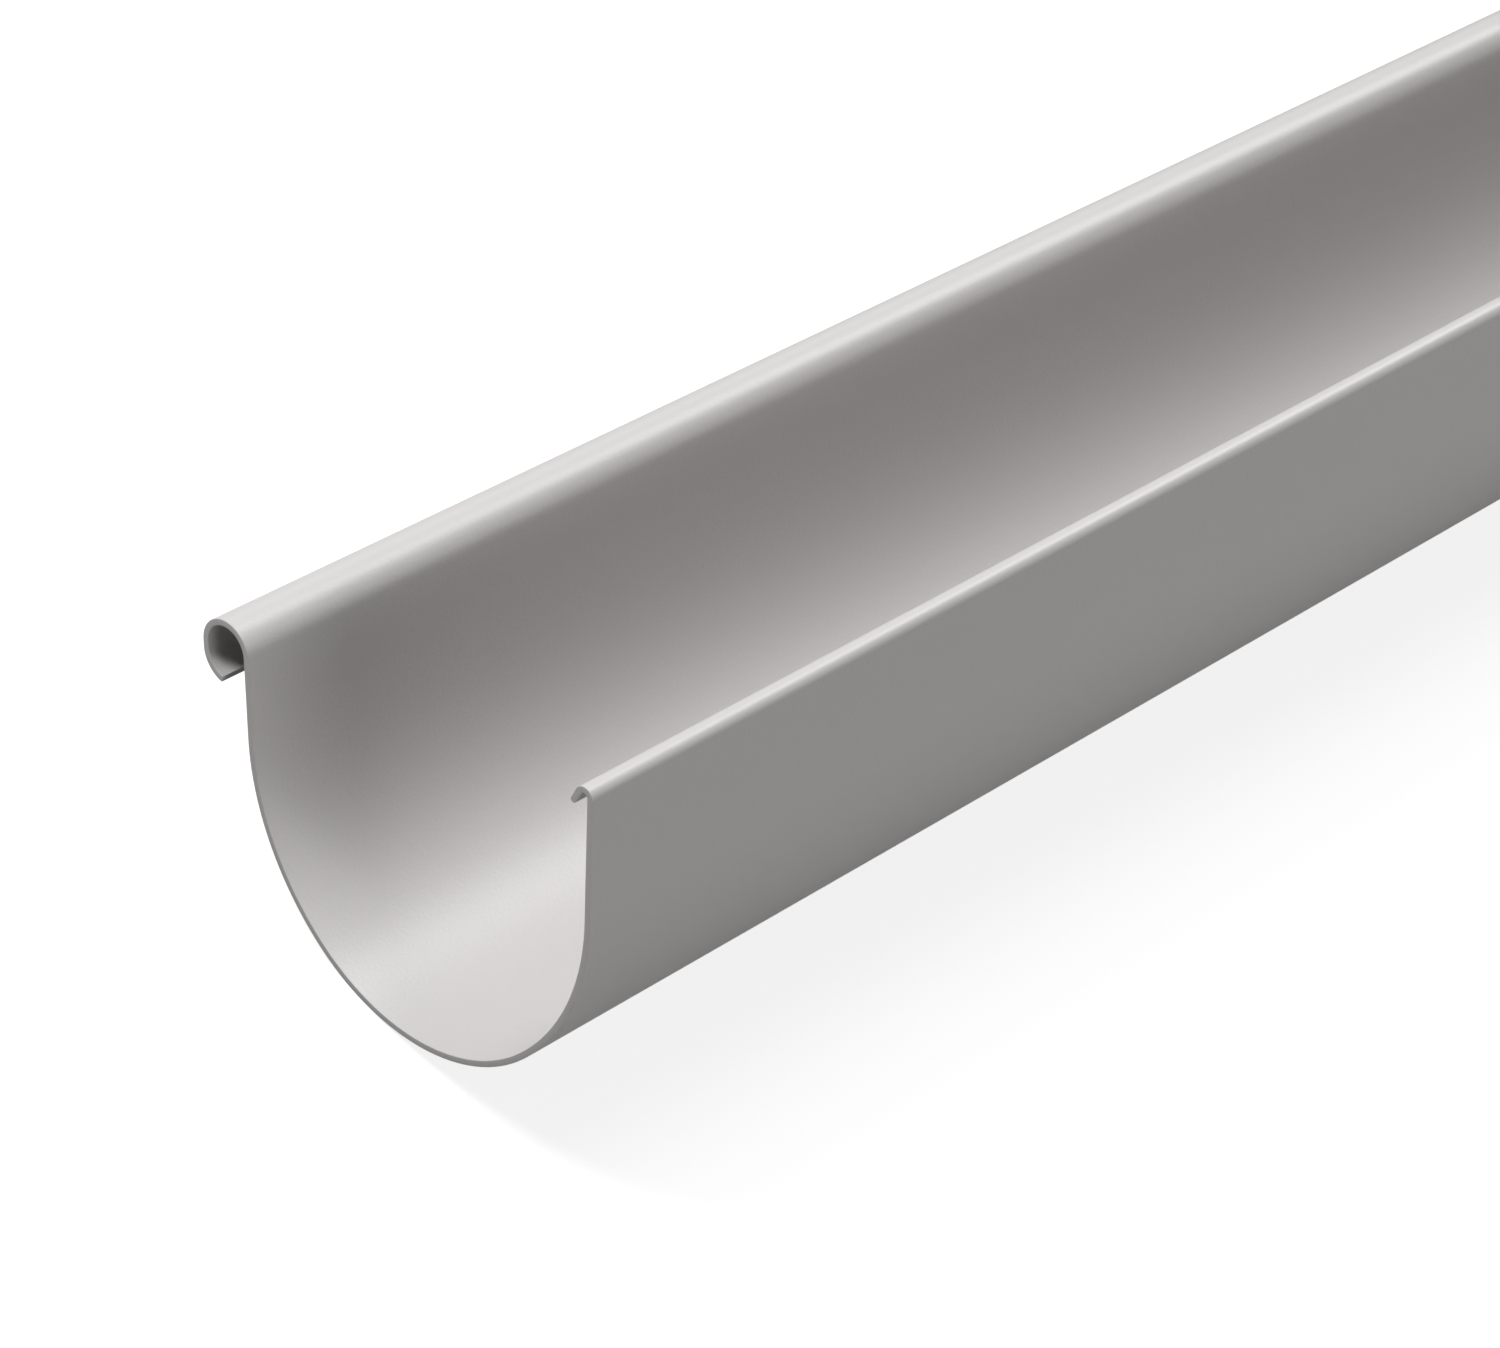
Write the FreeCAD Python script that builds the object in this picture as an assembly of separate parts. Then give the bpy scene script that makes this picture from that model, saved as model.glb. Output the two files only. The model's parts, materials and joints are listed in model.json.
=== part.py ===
"""One length of deep half-round rainwater gutter, extruded in one piece.

The section is a strip of even wall. From the bottom of the trough it runs up
the front wall and rolls outwards into the round bead, and up the rear wall
and folds inwards into a small hook. Both ends are plain square cuts.

Millimetres. The part lies as it rests on a level floor: +X along the gutter,
+Z up, the bead towards +Y, and the origin on the floor under the middle.
"""

import FreeCAD, Part
import math
import os

# Driving dimensions.
length = 2000.0          # stock length, cut square at both ends
wall = 1.8               # even wall all round the section
trough_width = 125.0     # outside, level with the springing line
trough_depth = 68.5      # outside, springing line down to the bottom
side_radius = 72.0       # outside radius of the flatter curves below each wall
front_height = 32.0      # springing line up to the top of the bead
rear_height = 35.8       # springing line up to the top of the rear hook
rear_lean = 2.8          # degrees the rear wall opens outwards
bead_radius = 8.7        # outside radius of the rolled bead
bead_drop = 2.0          # straight run down the outer side of the bead
bead_tuck = 75.0         # degrees the bead turns back in below that run
hook_radius = 3.0        # outside radius of the bend at the top of the hook
hook_dip = 60.0          # degrees the hook slopes down into the trough
hook_leg = 3.6           # straight run down the hook before its rounded tip


class Strip:
    """A strip of even wall, traced along the middle of its thickness.

    It moves in the section, where headings are degrees up from +Y, the front.
    A bend is positive when it turns to the left of the direction of travel.
    """

    def __init__(self, across, up, heading):
        self.point = FreeCAD.Vector(0, across, up)
        self.heading = heading
        self.edges = []

    def ahead(self, turn=0.0):
        """Unit vector along the heading, or turned away from it."""
        angle = math.radians(self.heading + turn)
        return FreeCAD.Vector(0, math.cos(angle), math.sin(angle))

    def faces(self):
        """The points of the left and the right face beside the strip's point."""
        half_wall = self.ahead(90) * (wall / 2)
        return self.point + half_wall, self.point - half_wall

    def straight(self, run):
        start = self.faces()
        self.point += self.ahead() * run
        for ends in zip(start, self.faces()):
            self.edges.append(Part.makeLine(*ends))

    def bend(self, outer_radius, turn):
        side = math.copysign(outer_radius - wall / 2, turn)
        centre = self.point + self.ahead(90) * side
        start = self.faces()
        self.swing(centre, turn / 2)
        halfway = self.faces()
        self.swing(centre, turn / 2)
        for points in zip(start, halfway, self.faces()):
            self.edges.append(Part.Arc(*points).toShape())

    def swing(self, centre, turn):
        """Carry the point round the centre, and turn the heading with it."""
        rotation = FreeCAD.Rotation(FreeCAD.Vector(1, 0, 0), turn)
        self.point = centre + rotation.multVec(self.point - centre)
        self.heading += turn

    def square_end(self):
        self.edges.append(Part.makeLine(*self.faces()))

    def round_end(self):
        left, right = self.faces()
        tip = self.point + self.ahead() * (wall / 2)
        self.edges.append(Part.Arc(left, tip, right).toShape())


# The trough is a three-centred curve: a bottom arc between two flatter side
# arcs, which stand upright at the springing line. Width, depth and the side
# radius settle the bottom arc.
half_width = trough_width / 2
side_offset = side_radius - half_width
depth_slack = side_radius - trough_depth
bottom_centre_drop = (side_offset ** 2 - depth_slack ** 2) / (2 * depth_slack)
bottom_radius = trough_depth - bottom_centre_drop
bottom_half_angle = math.degrees(math.atan2(side_offset, bottom_centre_drop))
side_angle = 90 - bottom_half_angle
middle_of_wall = -trough_depth + wall / 2


def front_strip():
    """From the bottom up the front wall and over the bead to its lip."""
    strip = Strip(0, middle_of_wall, 0)
    strip.bend(bottom_radius, bottom_half_angle)
    strip.bend(side_radius, side_angle)
    strip.straight(front_height - bead_radius)
    strip.bend(bead_radius, -180)
    strip.straight(bead_drop)
    strip.bend(bead_radius, -bead_tuck)
    strip.square_end()
    return strip


def rear_strip():
    """From the bottom up the rear wall and over the hook to its tip."""
    lean = math.radians(rear_lean)
    wall_foot = -(side_radius - wall / 2) * math.sin(lean)
    hook_centre = rear_height - hook_radius
    wall_top = hook_centre - (hook_radius - wall / 2) * math.sin(lean)
    strip = Strip(0, middle_of_wall, 180)
    strip.bend(bottom_radius, -bottom_half_angle)
    strip.bend(side_radius, rear_lean - side_angle)
    strip.straight((wall_top - wall_foot) / math.cos(lean))
    strip.bend(hook_radius, -90 - rear_lean - hook_dip)
    strip.straight(hook_leg)
    strip.round_end()
    return strip


def resting_roll(centroid):
    """Degrees the bead side sinks before the gutter balances on its curve.

    It balances where the centroid hangs straight below the middle of the arc
    that touches the floor: the bottom arc, or past its end the side arc.
    """
    on_bottom = math.atan2(centroid.y, -bottom_centre_drop - centroid.z)
    if on_bottom <= math.radians(bottom_half_angle):
        return math.degrees(on_bottom)
    return math.degrees(math.atan2(centroid.y + side_offset, -centroid.z))


edges = front_strip().edges + rear_strip().edges
outline = Part.Wire(Part.__sortEdges__(edges))
section = Part.Face(outline)
roll = resting_roll(section.CenterOfMass)

section.rotate(FreeCAD.Vector(0, 0, 0), FreeCAD.Vector(1, 0, 0), -roll)
extent = section.optimalBoundingBox()
section.translate(FreeCAD.Vector(-length / 2, -extent.Center.y, -extent.ZMin))
gutter = section.extrude(FreeCAD.Vector(length, 0, 0)).removeSplitter()

os.makedirs("parts", exist_ok=True)
gutter.exportStep("parts/gutter.step")

print("bottom radius", round(bottom_radius, 2), "mm")
print("bottom arc half angle", round(bottom_half_angle, 2), "degrees")
print("roll at rest", round(roll, 2), "degrees")
print("section", round(section.Area, 1), "mm2")
print("solid valid", gutter.isValid(), "of volume", round(gutter.Volume), "mm3")
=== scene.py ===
# %% [markdown]
# # A length of rainwater gutter
# The gutter is two metres of grey uPVC, pushed through a die in one go and
# sawn square at both ends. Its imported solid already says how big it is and
# how it lies, so that is loaded first and never moved. What the solid lacks
# is worked out here: rounded lips, broken edges at the saw cuts, the satin
# skin that the die leaves, and a studio to see them in.

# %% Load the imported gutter
import json

import bpy
import numpy as np
from mathutils import Matrix, Vector


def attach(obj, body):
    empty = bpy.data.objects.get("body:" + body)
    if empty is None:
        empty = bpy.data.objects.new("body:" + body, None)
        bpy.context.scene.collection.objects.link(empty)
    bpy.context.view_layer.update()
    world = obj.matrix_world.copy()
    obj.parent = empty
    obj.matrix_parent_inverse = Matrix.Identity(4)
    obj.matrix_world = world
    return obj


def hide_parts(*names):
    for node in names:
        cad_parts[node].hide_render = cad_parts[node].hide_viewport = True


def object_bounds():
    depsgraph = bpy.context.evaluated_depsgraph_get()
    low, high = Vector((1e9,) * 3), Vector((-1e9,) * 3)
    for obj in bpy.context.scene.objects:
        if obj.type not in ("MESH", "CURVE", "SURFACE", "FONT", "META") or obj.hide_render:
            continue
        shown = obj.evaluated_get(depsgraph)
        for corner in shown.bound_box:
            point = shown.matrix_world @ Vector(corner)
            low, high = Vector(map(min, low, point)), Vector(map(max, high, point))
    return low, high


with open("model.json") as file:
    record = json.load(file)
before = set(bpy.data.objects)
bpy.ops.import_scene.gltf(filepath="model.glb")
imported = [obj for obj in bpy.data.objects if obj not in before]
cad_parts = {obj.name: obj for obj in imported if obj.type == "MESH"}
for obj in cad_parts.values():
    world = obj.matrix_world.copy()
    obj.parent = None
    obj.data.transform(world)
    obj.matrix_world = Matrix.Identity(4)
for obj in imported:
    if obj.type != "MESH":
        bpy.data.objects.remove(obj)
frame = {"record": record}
packed_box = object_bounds()
print("packed gutter from", list(packed_box[0]), "to", list(packed_box[1]))

# %% [markdown]
# ## The sizes that shape the section
# The die is one slit of even width, bent round. A designer writes down few
# sizes for it: the width and depth of the trough, how high each wall rises,
# and the radii of the bead and the hook. Typing a list of outline points
# would be quicker, but nobody could change the wall or the bead afterwards.
# Blender counts in metres, so the sizes do too.

# %% Sizes of the section
wall = 0.0018             # even wall all round
trough_width = 0.125      # outside, level with the springing line
trough_depth = 0.0685     # outside, springing line down to the bottom
side_radius = 0.072       # outside radius of the flatter side curves
front_height = 0.032      # springing line up to the top of the bead
rear_height = 0.0358      # springing line up to the top of the hook
rear_lean = np.radians(2.8)
bead_radius = 0.0087      # outside
bead_drop = 0.002         # straight run down the outer side of the bead
bead_tuck = np.radians(75)
hook_radius = 0.003       # outside
hook_dip = np.radians(60)
hook_leg = 0.0036         # straight run down the hook to its round tip
print("wall", wall * 1000, "mm, trough", trough_width * 1000, "mm wide")

# %% [markdown]
# ## A trough of three arcs
# The bottom of this gutter is a touch deeper than a half circle. Drawn with
# compasses, it is a tighter arc in the middle and a flatter arc to each
# side, which stands upright where the walls begin. Two circles that touch
# share a tangent, and that one rule settles the middle arc: its centre lies
# on the line from the flatter arc's centre through the point where they meet.

# %% Radius and reach of the bottom arc
side_offset = side_radius - trough_width / 2
depth_slack = side_radius - trough_depth
centre_drop = (side_offset ** 2 - depth_slack ** 2) / (2 * depth_slack)
bottom_radius = trough_depth - centre_drop
bottom_half_angle = np.arctan2(side_offset, centre_drop)
side_angle = np.pi / 2 - bottom_half_angle
print("bottom arc of radius", round(bottom_radius * 1000, 2), "mm reaches",
      round(np.degrees(bottom_half_angle), 2), "degrees each way")

# %% [markdown]
# ## Walking along the middle of the wall
# A strip that is bent but never stretched is easiest to draw as a walk: go
# so far, turning evenly by so much. Straight runs turn by nothing, and bends
# by their angle. The walk starts at the bottom of the trough and goes up
# the front wall over the bead, and then again up the rear wall over the hook.
# A curve object could be drawn by hand instead, but it would only come near
# to the arcs, and the walk is exact.

# %% A walk of straight and bent runs
longest_step = 0.0025
largest_turn = np.radians(3)   # in one step


def bend(outer_radius, turn):
    """A bent run along the middle line: its length is (outer radius - wall / 2) times the angle."""
    return (outer_radius - wall / 2) * abs(turn), turn


def straight(run):
    """A straight run along the middle line: its length, and no turn."""
    return run, 0.0


def walk(start, heading, runs):
    """Points and headings along runs of (distance, whole turn).

    Within a run the heading changes evenly with distance. A small step of
    length ds that turns by dh is an arc, and its chord is
    ds * sin(dh / 2) / (dh / 2) long and points along the mean heading. The
    running sum of all the chords is the walk.
    """
    distances, turns = np.array(runs).T
    milestones = np.concatenate([[0], np.cumsum(distances)])
    bearings = heading + np.concatenate([[0], np.cumsum(turns)])
    steps = np.ceil(np.maximum(distances / longest_step, np.abs(turns) / largest_turn))
    stops = np.concatenate([[0], np.cumsum(steps)])
    travelled = np.interp(np.arange(stops[-1] + 1), stops, milestones)
    headings = np.interp(travelled, milestones, bearings)
    turned = np.diff(headings)
    chords = np.diff(travelled) * np.sinc(turned / (2 * np.pi))
    mean = (headings[1:] + headings[:-1]) / 2
    moves = np.stack([chords * np.cos(mean), chords * np.sin(mean)], axis=1)
    points = start + np.concatenate([np.zeros((1, 2)), np.cumsum(moves, axis=0)])
    return points, headings


quarter_turn, _ = walk(np.zeros(2), 0.0, [(np.pi / 2, np.pi / 2)])
print("a quarter of a unit circle ends at", quarter_turn[-1].round(6), "in", len(quarter_turn) - 1, "steps")

# %% [markdown]
# ## The lips
# The bead ends in a square lip and the hook in a fully round one. A die
# leaves no knife edges, so the square lip gets small rounded corners. Their
# centres lie one corner radius back from the end, and so the last bend of
# the bead stops that much short.

# %% The front and rear halves of the middle line
lip_corner = 0.00015      # rounding of the bead's square lip
short_of_lip = lip_corner / (bead_radius - wall / 2)

wall_foot = -(side_radius - wall / 2) * np.sin(rear_lean)
wall_top = rear_height - hook_radius - (hook_radius - wall / 2) * np.sin(rear_lean)
rear_run = (wall_top - wall_foot) / np.cos(rear_lean)

bottom = np.array([0, -trough_depth + wall / 2])
front_line, front_headings = walk(bottom, 0.0, [
    bend(bottom_radius, bottom_half_angle),
    bend(side_radius, side_angle),
    straight(front_height - bead_radius),
    bend(bead_radius, -np.pi),
    straight(bead_drop),
    bend(bead_radius, short_of_lip - bead_tuck),
])
rear_line, rear_headings = walk(bottom, np.pi, [
    bend(bottom_radius, -bottom_half_angle),
    bend(side_radius, rear_lean - side_angle),
    straight(rear_run),
    bend(hook_radius, -np.pi / 2 - rear_lean - hook_dip),
    straight(hook_leg),
])

# From the lip of the bead, down through the bottom and up to the tip of the hook.
middle = np.concatenate([front_line[::-1], rear_line[1:]])
heading = np.concatenate([front_headings[::-1] + np.pi, rear_headings[1:]])
print(len(middle), "stations along the middle of the wall")

# %% [markdown]
# ## From the middle line to the outline
# The skin lies half a wall to each side of the middle line. At the two ends
# it swings round the lips, where the way out of the plastic turns from
# sideways to straight ahead. All of it can be said in one breath: every
# point of the outline is a core point plus a rounding radius times a
# direction. Making that radius smaller draws the whole outline in evenly,
# which is just what the broken edge of a saw cut needs.

# %% Cores, directions and radii round the outline
corner_steps = 6          # steps round each quarter of a lip

# From the lip to the tip: the station on the middle line, the rounding radius there,
# and the swing, which is the angle from straight ahead to the way out of the plastic.
last = len(middle) - 1
half_swing = np.linspace(0, np.pi / 2, corner_steps + 1)
station = np.concatenate([np.zeros(corner_steps, int), np.arange(last + 1), np.full(corner_steps, last)])
rounding = np.full(len(station), wall / 2)
rounding[:corner_steps] = lip_corner
swing = np.full(len(station), np.pi / 2)
swing[:corner_steps] = np.pi - half_swing[:-1]
swing[-corner_steps:] = half_swing[-2::-1]


def rounded(side_sign):
    """Core points, outward directions and rounding radii of the left (+1) or right (-1) face.

    With a the unit vector ahead and l the one to the left, the direction at
    swing t is cos(t) a + sign * sin(t) l, and the core lies on the middle
    line, moved sideways by half the wall less the rounding radius.
    """
    bearing = heading[station]
    ahead = np.stack([np.cos(bearing), np.sin(bearing)], axis=1)
    left = np.stack([-np.sin(bearing), np.cos(bearing)], axis=1)
    direction = np.cos(swing)[:, None] * ahead + side_sign * np.sin(swing)[:, None] * left
    core = middle[station] + side_sign * (wall / 2 - rounding)[:, None] * left
    return core, direction, rounding


# Out along the left face to the tip of the hook, and back along the right face.
left_face, right_face = rounded(+1), rounded(-1)
core, direction, radius = (np.concatenate([out, back[::-1]]) for out, back in zip(left_face, right_face))
outline = core + radius[:, None] * direction
around = np.linalg.norm(np.roll(outline, -1, axis=0) - outline, axis=1)
print(len(outline), "points round the outline,", round(around.sum() * 1000, 1), "mm long")

# %% [markdown]
# ## How the gutter lies
# Nothing holds the gutter, so it has rolled until its weight hangs over the
# curve that it rests on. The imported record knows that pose: the mount called
# bracket_seat points out of the bottom of the trough, so its reverse is the
# way up for the section. The section is turned to that, and then set down
# so that its lowest point touches the floor and its box is centred.

# %% Turn the section as the gutter rests
mounts = {mount["name"]: mount for mount in frame["record"]["mounts"]}
up = -np.array(mounts["bracket_seat"]["axis"][1:])
up /= np.linalg.norm(up)
front = np.array([up[1], -up[0]])
turn = np.array([front, up])

# Half way between the sides goes to zero across, and the lowest point to zero up.
resting = outline @ turn
shift = -np.array([resting[:, 0].min() + resting[:, 0].max(), 2 * resting[:, 1].min()]) / 2
print("rolled", round(np.degrees(np.arctan2(up[0], up[1])), 2), "degrees towards the bead")

# %% [markdown]
# ## The skin as a surface of two numbers
# A point on the skin is found from how far round the outline it is and how
# far along the gutter. Along the length nothing changes, except at the saw
# cuts: a quick pass with a blade breaks their sharp edges, and the outline
# draws in along a tiny quarter circle. A Bevel modifier could do that, but
# here it costs one more column in a formula, and the cut face stays a clean
# strip of four-sided faces between the two sides of the wall.

# %% The surface
edge_break = 0.0001       # radius of the broken edge at a saw cut
break_steps = 4
first_gap = 0.0004        # from the broken edge to the first ring behind it
fan_reach = 0.05
fan_rings = 8
body_from = 0.1           # from the saw cut
body_rings = 19           # up to the middle of the gutter
near_end, far_end = packed_box[0].x, packed_box[1].x


def rings():
    """Positions along the gutter, and how far the outline is drawn in there.

    With t from 90 degrees down to 0, the broken edge lies e (1 - sin t) in
    from the cut and is drawn in by e (1 - cos t). Behind it the rings fan
    out, each gap larger than the last, so that the long flat of the skin
    doesn't pick up shading from the edge. The body has even gaps.
    """
    t = np.linspace(np.pi / 2, 0, break_steps + 1)
    fan = edge_break + np.geomspace(first_gap, fan_reach, fan_rings)
    body = np.linspace(body_from, (far_end - near_end) / 2, body_rings)
    inwards = np.concatenate([edge_break * (1 - np.sin(t)), fan, body])
    drawn_in = np.concatenate([edge_break * (1 - np.cos(t)), np.zeros(len(fan) + len(body))])
    x = np.concatenate([near_end + inwards, far_end - inwards[-2::-1]])
    return x, np.concatenate([drawn_in, drawn_in[-2::-1]])


def skin(x, drawn_in):
    """Points of the skin on a grid: (x, core + (radius - drawn_in) * direction), turned and set down."""
    reach = radius[None, :] - drawn_in[:, None]
    flat = core[None] + reach[..., None] * direction[None]
    laid = flat @ turn + shift
    along = np.broadcast_to(x[:, None, None], laid.shape[:2] + (1,))
    return np.concatenate([along, laid], axis=2)


x, drawn_in = rings()
grid = skin(x, drawn_in)
print("grid of", grid.shape[0], "rings by", grid.shape[1], "points")

# %% [markdown]
# ## Faces
# The skin joins each ring to the next. Each saw cut is closed by faces that
# span the wall from one side to the other: because the outline goes out
# along the left face and comes back along the right one, point i lies
# opposite point n - 1 - i, and no triangles or holes are left over. The
# faces keep a map of their own, in metres: distance along the gutter and
# distance round the section, for finishes that follow the surface.

# %% Corners of every face
ring_count, point_count = grid.shape[:2]


def skin_faces():
    """Corner indices of the quads between rings, and their map: (x, distance round the outline)."""
    ring, point = np.meshgrid(np.arange(ring_count - 1), np.arange(point_count), indexing="ij")
    ring, point = ring.ravel(), point.ravel()
    after = (point + 1) % point_count
    corners = np.stack([ring * point_count + point, (ring + 1) * point_count + point,
                        (ring + 1) * point_count + after, ring * point_count + after], axis=1)
    round_about = np.concatenate([[0], np.cumsum(around)])
    u = np.stack([x[ring], x[ring + 1], x[ring + 1], x[ring]], axis=1)
    v = round_about[np.stack([point, point, point + 1, point + 1], axis=1)]
    return corners, np.stack([u, v], axis=2)


def cut_faces(ring, outward):
    """Corner indices of the quads across the wall at one end, and their map: the section's own plane."""
    point = np.arange(point_count // 2 - 1)
    opposite = point_count - 1 - point
    corners = np.stack([point, opposite, opposite - 1, point + 1], axis=1)[:, ::outward]
    return corners + ring * point_count, core[corners] + radius[corners][..., None] * direction[corners]


faces = [skin_faces(), cut_faces(0, -1), cut_faces(ring_count - 1, 1)]
corners = np.concatenate([part[0] for part in faces])
face_map = np.concatenate([part[1] for part in faces])
is_cut = np.arange(len(corners)) >= len(faces[0][0])
print(len(corners), "faces, of which", is_cut.sum(), "on the saw cuts")

# %% [markdown]
# ## Into Blender
# Numpy arrays go into a mesh in a few bulk calls, with no loop over points.
# Blender then only has to find the edges. The volume inside the faces tells
# whether they all point outwards: it is a sum over the faces of a small
# pyramid to the origin, and it comes out negative for a mesh inside out.

# %% Make the mesh
def build(name, points, corners, face_map):
    """A smooth mesh of four-sided faces, with its map, at the origin."""
    mesh = bpy.data.meshes.new(name)
    mesh.vertices.add(len(points))
    mesh.vertices.foreach_set("co", points.astype(np.float32).ravel())
    mesh.loops.add(corners.size)
    mesh.loops.foreach_set("vertex_index", corners.astype(np.int32).ravel())
    mesh.polygons.add(len(corners))
    mesh.polygons.foreach_set("loop_start", np.arange(0, corners.size, 4, dtype=np.int32))
    mesh.update(calc_edges=True)
    layer = mesh.uv_layers.new(name="along_and_around")
    layer.uv.foreach_set("vector", face_map.astype(np.float32).ravel())
    mesh.polygons.foreach_set("use_smooth", np.ones(len(corners), dtype=bool))
    piece = bpy.data.objects.new(name, mesh)
    bpy.context.scene.collection.objects.link(piece)
    return piece


def enclosed_volume(points, corners):
    """Sum over the quads of the pyramids from the origin: for each half, a . (b x c) / 6."""
    a, b, c, d = (points[corners[:, k]] for k in range(4))
    return (np.einsum("ij,ij->i", a, np.cross(b, c)) + np.einsum("ij,ij->i", a, np.cross(c, d))).sum() / 6


points = grid.reshape(-1, 3)
gutter = build("gutter_length", points, corners, face_map)
millilitres = enclosed_volume(points, corners) * 1e6
print("plastic inside the faces:", round(millilitres, 1), "ml")

# %% [markdown]
# ## The satin skin
# uPVC comes out of the die with a soft sheen. It is near enough one warm
# light grey, but not quite: the tone drifts a little, as the melt does, and
# a fine grain breaks up the highlights. The die also leaves very faint lines
# along the length. Grain and lines are far too small for the mesh, so they
# are bump, and the pattern is worked out in the gutter's own space.

# %% Node helpers
middle_half = (0.25, 0.75)     # nearly all of a noise lies between these
tone_stops = (0.3, 0.7)        # where the first tone ends and the second begins
evenly = (1, 1, 1)             # no stretch


def new_material(name):
    """A material, with its nodes, its links and the surface shader that they end in."""
    material = bpy.data.materials.new(name)
    material.use_nodes = True
    nodes = material.node_tree.nodes
    return material, nodes, material.node_tree.links, nodes["Principled BSDF"]


def noise(nodes, links, vector, scale, detail=2.0, stretch=evenly):
    """Noise on the given coordinates, drawn out along an axis where stretch is under one."""
    mapping = nodes.new("ShaderNodeMapping")
    mapping.inputs["Scale"].default_value = stretch
    links.new(vector, mapping.inputs["Vector"])
    texture = nodes.new("ShaderNodeTexNoise")
    texture.inputs["Scale"].default_value = scale
    texture.inputs["Detail"].default_value = detail
    links.new(mapping.outputs["Vector"], texture.inputs["Vector"])
    return texture.outputs["Fac"]


def spread(nodes, links, value, low, high):
    """Maps the middle half of a noise to the range low to high."""
    ranged = nodes.new("ShaderNodeMapRange")
    ranged.inputs["From Min"].default_value = middle_half[0]
    ranged.inputs["From Max"].default_value = middle_half[1]
    ranged.inputs["To Min"].default_value = low
    ranged.inputs["To Max"].default_value = high
    links.new(value, ranged.inputs["Value"])
    return ranged.outputs["Result"]


def two_tones(nodes, links, value, first, second):
    """Blends the first tone into the second as the noise goes from the one stop to the other."""
    ramp = nodes.new("ShaderNodeValToRGB")
    for stop, position, tone in zip(ramp.color_ramp.elements, tone_stops, (first, second)):
        stop.position = position
        stop.color = (*tone, 1)
    links.new(value, ramp.inputs["Fac"])
    return ramp.outputs["Color"]


def bump(nodes, links, height, depth, under=None):
    """A bump of that depth in metres, laid over the normals of the bump under it."""
    node = nodes.new("ShaderNodeBump")
    node.inputs["Distance"].default_value = depth
    node.inputs["Strength"].default_value = 1.0
    links.new(height, node.inputs["Height"])
    if under is not None:
        links.new(under, node.inputs["Normal"])
    return node.outputs["Normal"]


print("helpers for noise, ranges, tones and bumps are ready")

# %% Extruded uPVC
warm_grey = np.array([0.564, 0.550, 0.5425])
satin_tones = (0.99, 1.01)     # of the warm grey
satin_roughness = (0.40, 0.44)
upvc_ior = 1.53

drift_scale = 14.0             # noise cells to the metre
drift_stretch = (0.2, 1, 1)    # five times as long as they are wide
grain_scale = 1000.0
grain_detail = 1.0
grain_depth = 0.00005
die_line_scale = 900.0
die_line_stretch = (0.004, 1, 1)
die_line_depth = 0.000002


def satin_upvc():
    material, nodes, links, surface = new_material("satin_upvc")
    place = nodes.new("ShaderNodeTexCoord").outputs["Object"]
    drift = noise(nodes, links, place, drift_scale, stretch=drift_stretch)
    grain = noise(nodes, links, place, grain_scale, detail=grain_detail)
    die_lines = noise(nodes, links, place, die_line_scale, stretch=die_line_stretch)
    tone = two_tones(nodes, links, drift, *(warm_grey * shade for shade in satin_tones))
    links.new(tone, surface.inputs["Base Color"])
    links.new(spread(nodes, links, drift, *satin_roughness), surface.inputs["Roughness"])
    lines = bump(nodes, links, die_lines, die_line_depth)
    links.new(bump(nodes, links, grain, grain_depth, under=lines), surface.inputs["Normal"])
    surface.inputs["IOR"].default_value = upvc_ior
    return material


satin = satin_upvc()
gutter.data.materials.append(satin)
print(satin.name, "has", len(satin.node_tree.nodes), "nodes")

# %% [markdown]
# ## The saw cuts
# A fine saw leaves the end matt and scored with shallow lines from its teeth.
# The lines run across the section, so here the noise is drawn out sideways.
# A thin end piece of its own would be easy to paint, but it would leave a
# seam. So the cut faces get this second finish of the same plastic face by
# face, and the whole length stays one closed mesh.

# %% Sawn uPVC
sawn_tones = (0.95, 1.0)       # of the warm grey
sawn_roughness = (0.55, 0.7)
teeth_scale = 2600.0
teeth_stretch = (1, 0.03, 1)
teeth_depth = 0.00002
speck_scale = 1800.0


def sawn_upvc():
    material, nodes, links, surface = new_material("sawn_upvc")
    place = nodes.new("ShaderNodeTexCoord").outputs["Object"]
    teeth = noise(nodes, links, place, teeth_scale, stretch=teeth_stretch)
    specks = noise(nodes, links, place, speck_scale)
    tone = two_tones(nodes, links, specks, *(warm_grey * shade for shade in sawn_tones))
    links.new(tone, surface.inputs["Base Color"])
    links.new(spread(nodes, links, teeth, *sawn_roughness), surface.inputs["Roughness"])
    links.new(bump(nodes, links, teeth, teeth_depth), surface.inputs["Normal"])
    surface.inputs["IOR"].default_value = upvc_ior
    return material


sawn = sawn_upvc()
gutter.data.materials.append(sawn)
gutter.data.polygons.foreach_set("material_index", is_cut.astype(np.int32))
print(sawn.name, "has", len(sawn.node_tree.nodes), "nodes and", is_cut.sum(), "faces")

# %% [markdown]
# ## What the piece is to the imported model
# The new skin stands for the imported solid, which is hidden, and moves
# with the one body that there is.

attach(gutter, "root")
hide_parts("gutter")
print(gutter.name, "stands for the packed node gutter")

# %% [markdown]
# ## Floor
# A wide pale floor, right under the gutter. A white floor in real life would
# throw its light back up and wash out the underside, so Light Path is asked
# what kind of ray has come. A camera ray finds white, with the soft shadow
# left in. A reflected ray finds pale paint that darkens in the shadow. All
# other light bounces off a plain mid grey.

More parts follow.
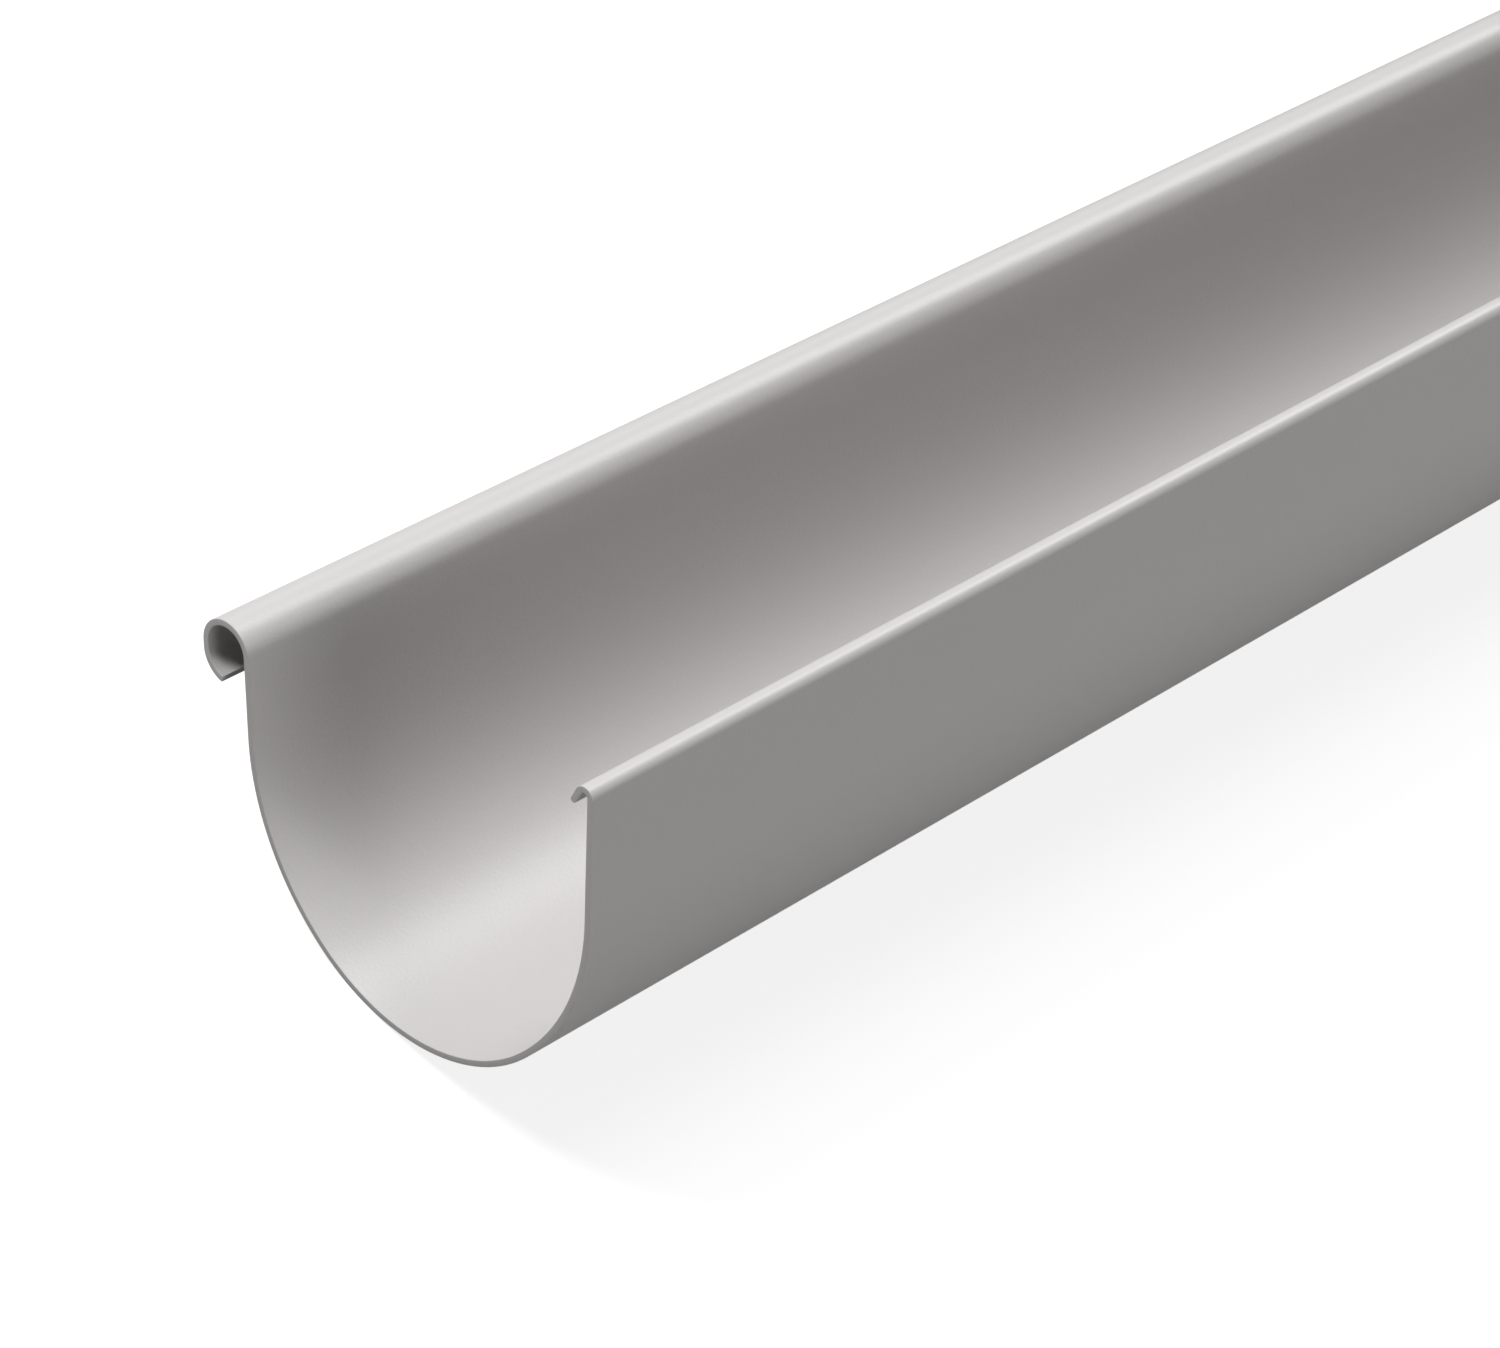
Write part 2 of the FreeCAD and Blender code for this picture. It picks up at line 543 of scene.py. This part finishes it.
# %% Which rays have come
def ray_is(nodes, links, *kinds):
    """One where the ray is of any of the kinds, and zero elsewhere: the largest of its outputs."""
    path = nodes.new("ShaderNodeLightPath")
    answer = path.outputs[kinds[0]]
    for kind in kinds[1:]:
        larger = nodes.new("ShaderNodeMath")
        larger.operation = "MAXIMUM"
        links.new(answer, larger.inputs[0])
        links.new(path.outputs[kind], larger.inputs[1])
        answer = larger.outputs[0]
    return answer


def pick(nodes, links, choice, otherwise, chosen):
    """The chosen shader where choice is one, and the other where it is zero."""
    mix = nodes.new("ShaderNodeMixShader")
    links.new(choice, mix.inputs[0])
    links.new(otherwise, mix.inputs[1])
    links.new(chosen, mix.inputs[2])
    return mix.outputs[0]


def paint(nodes, tone):
    """A matt grey of that tone."""
    coat = nodes.new("ShaderNodeBsdfDiffuse")
    coat.inputs["Color"].default_value = (tone, tone, tone, 1)
    return coat.outputs[0]


print("a floor and a sky can now tell camera rays from the rest")

# %% Floor
floor_reach = 60.0        # metres each way, past any view's horizon
bounce_tone = 0.15        # for the light that it throws back
reflected_tone = 0.8      # for what is mirrored in the plastic
shadow_depth = 0.4        # paint under the white that is seen, dark where a shadow falls
glow_strength = 0.8       # the rest of that white


def studio_floor():
    material = bpy.data.materials.new("studio_floor")
    material.use_nodes = True
    nodes, links = material.node_tree.nodes, material.node_tree.links
    nodes.clear()
    glow = nodes.new("ShaderNodeEmission")
    glow.inputs["Strength"].default_value = glow_strength
    white = nodes.new("ShaderNodeAddShader")
    links.new(paint(nodes, shadow_depth), white.inputs[0])
    links.new(glow.outputs[0], white.inputs[1])
    reflected = pick(nodes, links, ray_is(nodes, links, "Is Glossy Ray"),
                     paint(nodes, bounce_tone), paint(nodes, reflected_tone))
    seen = pick(nodes, links, ray_is(nodes, links, "Is Camera Ray", "Is Transmission Ray"),
                reflected, white.outputs[0])
    links.new(seen, nodes.new("ShaderNodeOutputMaterial").inputs["Surface"])
    return material


corner_signs = np.array([[-1, -1, 0], [1, -1, 0], [1, 1, 0], [-1, 1, 0]], dtype=float)
floor = build("floor", corner_signs * floor_reach, np.array([[0, 1, 2, 3]]), corner_signs[None, :, :2])
floor.data.materials.append(studio_floor())
print("floor", 2 * floor_reach, "m square")

# %% [markdown]
# ## Light
# A soft box hangs above the near end, a little to the bead's side, and its
# light fades along the gutter, as it does in a studio. Two broad lamps far
# away, leaning to the far end, keep the rest of the length lit and draw the
# pale sheen along the bead and the hook. A low one from the rear lifts the
# outside of the rear wall, which all the others miss, and a faint one from
# the front reaches into the bead. Small bright lamps would draw hard lines
# on such a skin, so all of them are wide. Together they light a face turned
# up about as much as one plain white sky would, so a colour comes out about
# as it is written.

# %% A direction in the section's own terms
def upright(across, rise, along=0.0):
    """A direction given in the upright section's terms, turned as the gutter lies."""
    flat = across * front + rise * up
    return Vector((along, flat[0], flat[1]))


def towards(round_angle, far_angle):
    """The way to a lamp: so far round the section, from the bead's side over
    the top, and then leaning towards the far end.
    """
    round_about, lean = np.radians([round_angle, far_angle])
    return upright(np.cos(round_about) * np.cos(lean), np.sin(round_about) * np.cos(lean), np.sin(lean))


near_cut = upright(0, 0, near_end) + Vector((0, *shift))
print("the way up for the section is", [round(c, 3) for c in upright(0, 1)])

# %% Lamps
soft_box_size = 0.6
lamp_distance = 1.8       # from the middle of the near cut


def hang(name, lamp, direction):
    """Hangs a lamp that way from the near cut, and aims it there. A sun shines alike from anywhere."""
    holder = bpy.data.objects.new(name, lamp)
    holder.rotation_mode = "QUATERNION"
    holder.rotation_quaternion = direction.to_track_quat("Z", "Y")
    holder.location = near_cut + direction * lamp_distance
    holder.visible_camera = False
    bpy.context.scene.collection.objects.link(holder)
    return holder


def soft_box(name, round_angle, far_angle, level):
    """A round lamp, which lights a face turned to it as a sky of that level would.

    A disc of power P gives P / (pi d^2) at distance d, and a white sky of
    level 1 gives pi, so P is level times pi squared times d squared.
    """
    lamp = bpy.data.lights.new(name, "AREA")
    lamp.shape = "DISK"
    lamp.size = soft_box_size
    lamp.energy = level * (np.pi * lamp_distance) ** 2
    return hang(name, lamp, towards(round_angle, far_angle))


def sun(name, round_angle, far_angle, strength, width):
    """Even light from one way, as soft as the sun is wide."""
    lamp = bpy.data.lights.new(name, "SUN")
    lamp.energy = strength
    lamp.angle = np.radians(width)
    return hang(name, lamp, towards(round_angle, far_angle))


# Each lamp's angle round the section and its lean to the far end, in degrees,
# its level or strength, and for a sun how wide it is, in degrees too.
lamps = [
    soft_box("box_over_near_end", 80, -20, 0.71),
    sun("over_far_end", 97, 45, 1.45, 24),
    sun("front_far_end", 52, 45, 0.52, 40),
    sun("low_rear", 180, -5, 0.90, 24),
    sun("front_near_end", 50, -45, 0.18, 40),
]
print("lamps:", [lamp.name for lamp in lamps])

# %% [markdown]
# ## Sky
# Plain white where it is looked at or reflected, like the floor, but dim for
# the light that it gives, so that the soft shadows inside the trough stay.
# A world can do both, because its strength too may hang on Light Path.

# %% Sky
sky_level = 0.04
world = bpy.data.worlds.new("studio")
bpy.context.scene.world = world
world.use_nodes = True
sky_nodes, sky_links = world.node_tree.nodes, world.node_tree.links
dim = sky_nodes["Background"]
dim.inputs["Color"].default_value = (1, 1, 1, 1)
dim.inputs["Strength"].default_value = sky_level
bright = sky_nodes.new("ShaderNodeBackground")
bright.inputs["Color"].default_value = (1, 1, 1, 1)
looked_at = ray_is(sky_nodes, sky_links, "Is Camera Ray", "Is Glossy Ray", "Is Transmission Ray")
sky = pick(sky_nodes, sky_links, looked_at, dim.outputs[0], bright.outputs[0])
sky_links.new(sky, sky_nodes["World Output"].inputs["Surface"])
print("sky of level", sky_level, "and white where it is seen")

# %% [markdown]
# ## Camera
# A long lens, from above the near end and to the rear of the gutter, so that
# the open trough, both rims and the saw cut all show. A camera can be pushed
# about by eye until the view is right, but figures can be read and repeated.
# It is aimed at a point in the middle plane of the upright section, and
# turned with the gutter.

# %% Camera
aim_along = 0.1240        # from the near cut
aim_rise = -0.0083        # from the springing line
distance = 1.3956
focal_length = 124.7      # in millimetres, as the sensor is
sensor_width = 36.0
turn_of_head = np.radians(43.23)
nod = np.radians(29.77)

looking = upright(np.sin(turn_of_head) * np.cos(nod), -np.sin(nod), np.cos(turn_of_head) * np.cos(nod))
above = upright(np.sin(turn_of_head) * np.sin(nod), np.cos(nod), np.cos(turn_of_head) * np.sin(nod))
aim = upright(0, aim_rise, near_end + aim_along) + Vector((0, *shift))
lens = bpy.data.cameras.new("camera")
lens.lens = focal_length
lens.sensor_width = sensor_width
camera = bpy.data.objects.new("camera", lens)
turned = Matrix((looking.cross(above), above, -looking)).transposed().to_4x4()
camera.matrix_world = Matrix.Translation(aim - looking * distance) @ turned
bpy.context.scene.collection.objects.link(camera)
bpy.context.scene.camera = camera
print("camera at", [round(c, 3) for c in camera.location])

# %% [markdown]
# ## The end
# Standard leaves the colours as the lamps and the surfaces make them, with
# no film look laid over them.

# %% Picture settings and the end
bpy.context.scene.view_settings.view_transform = "Standard"
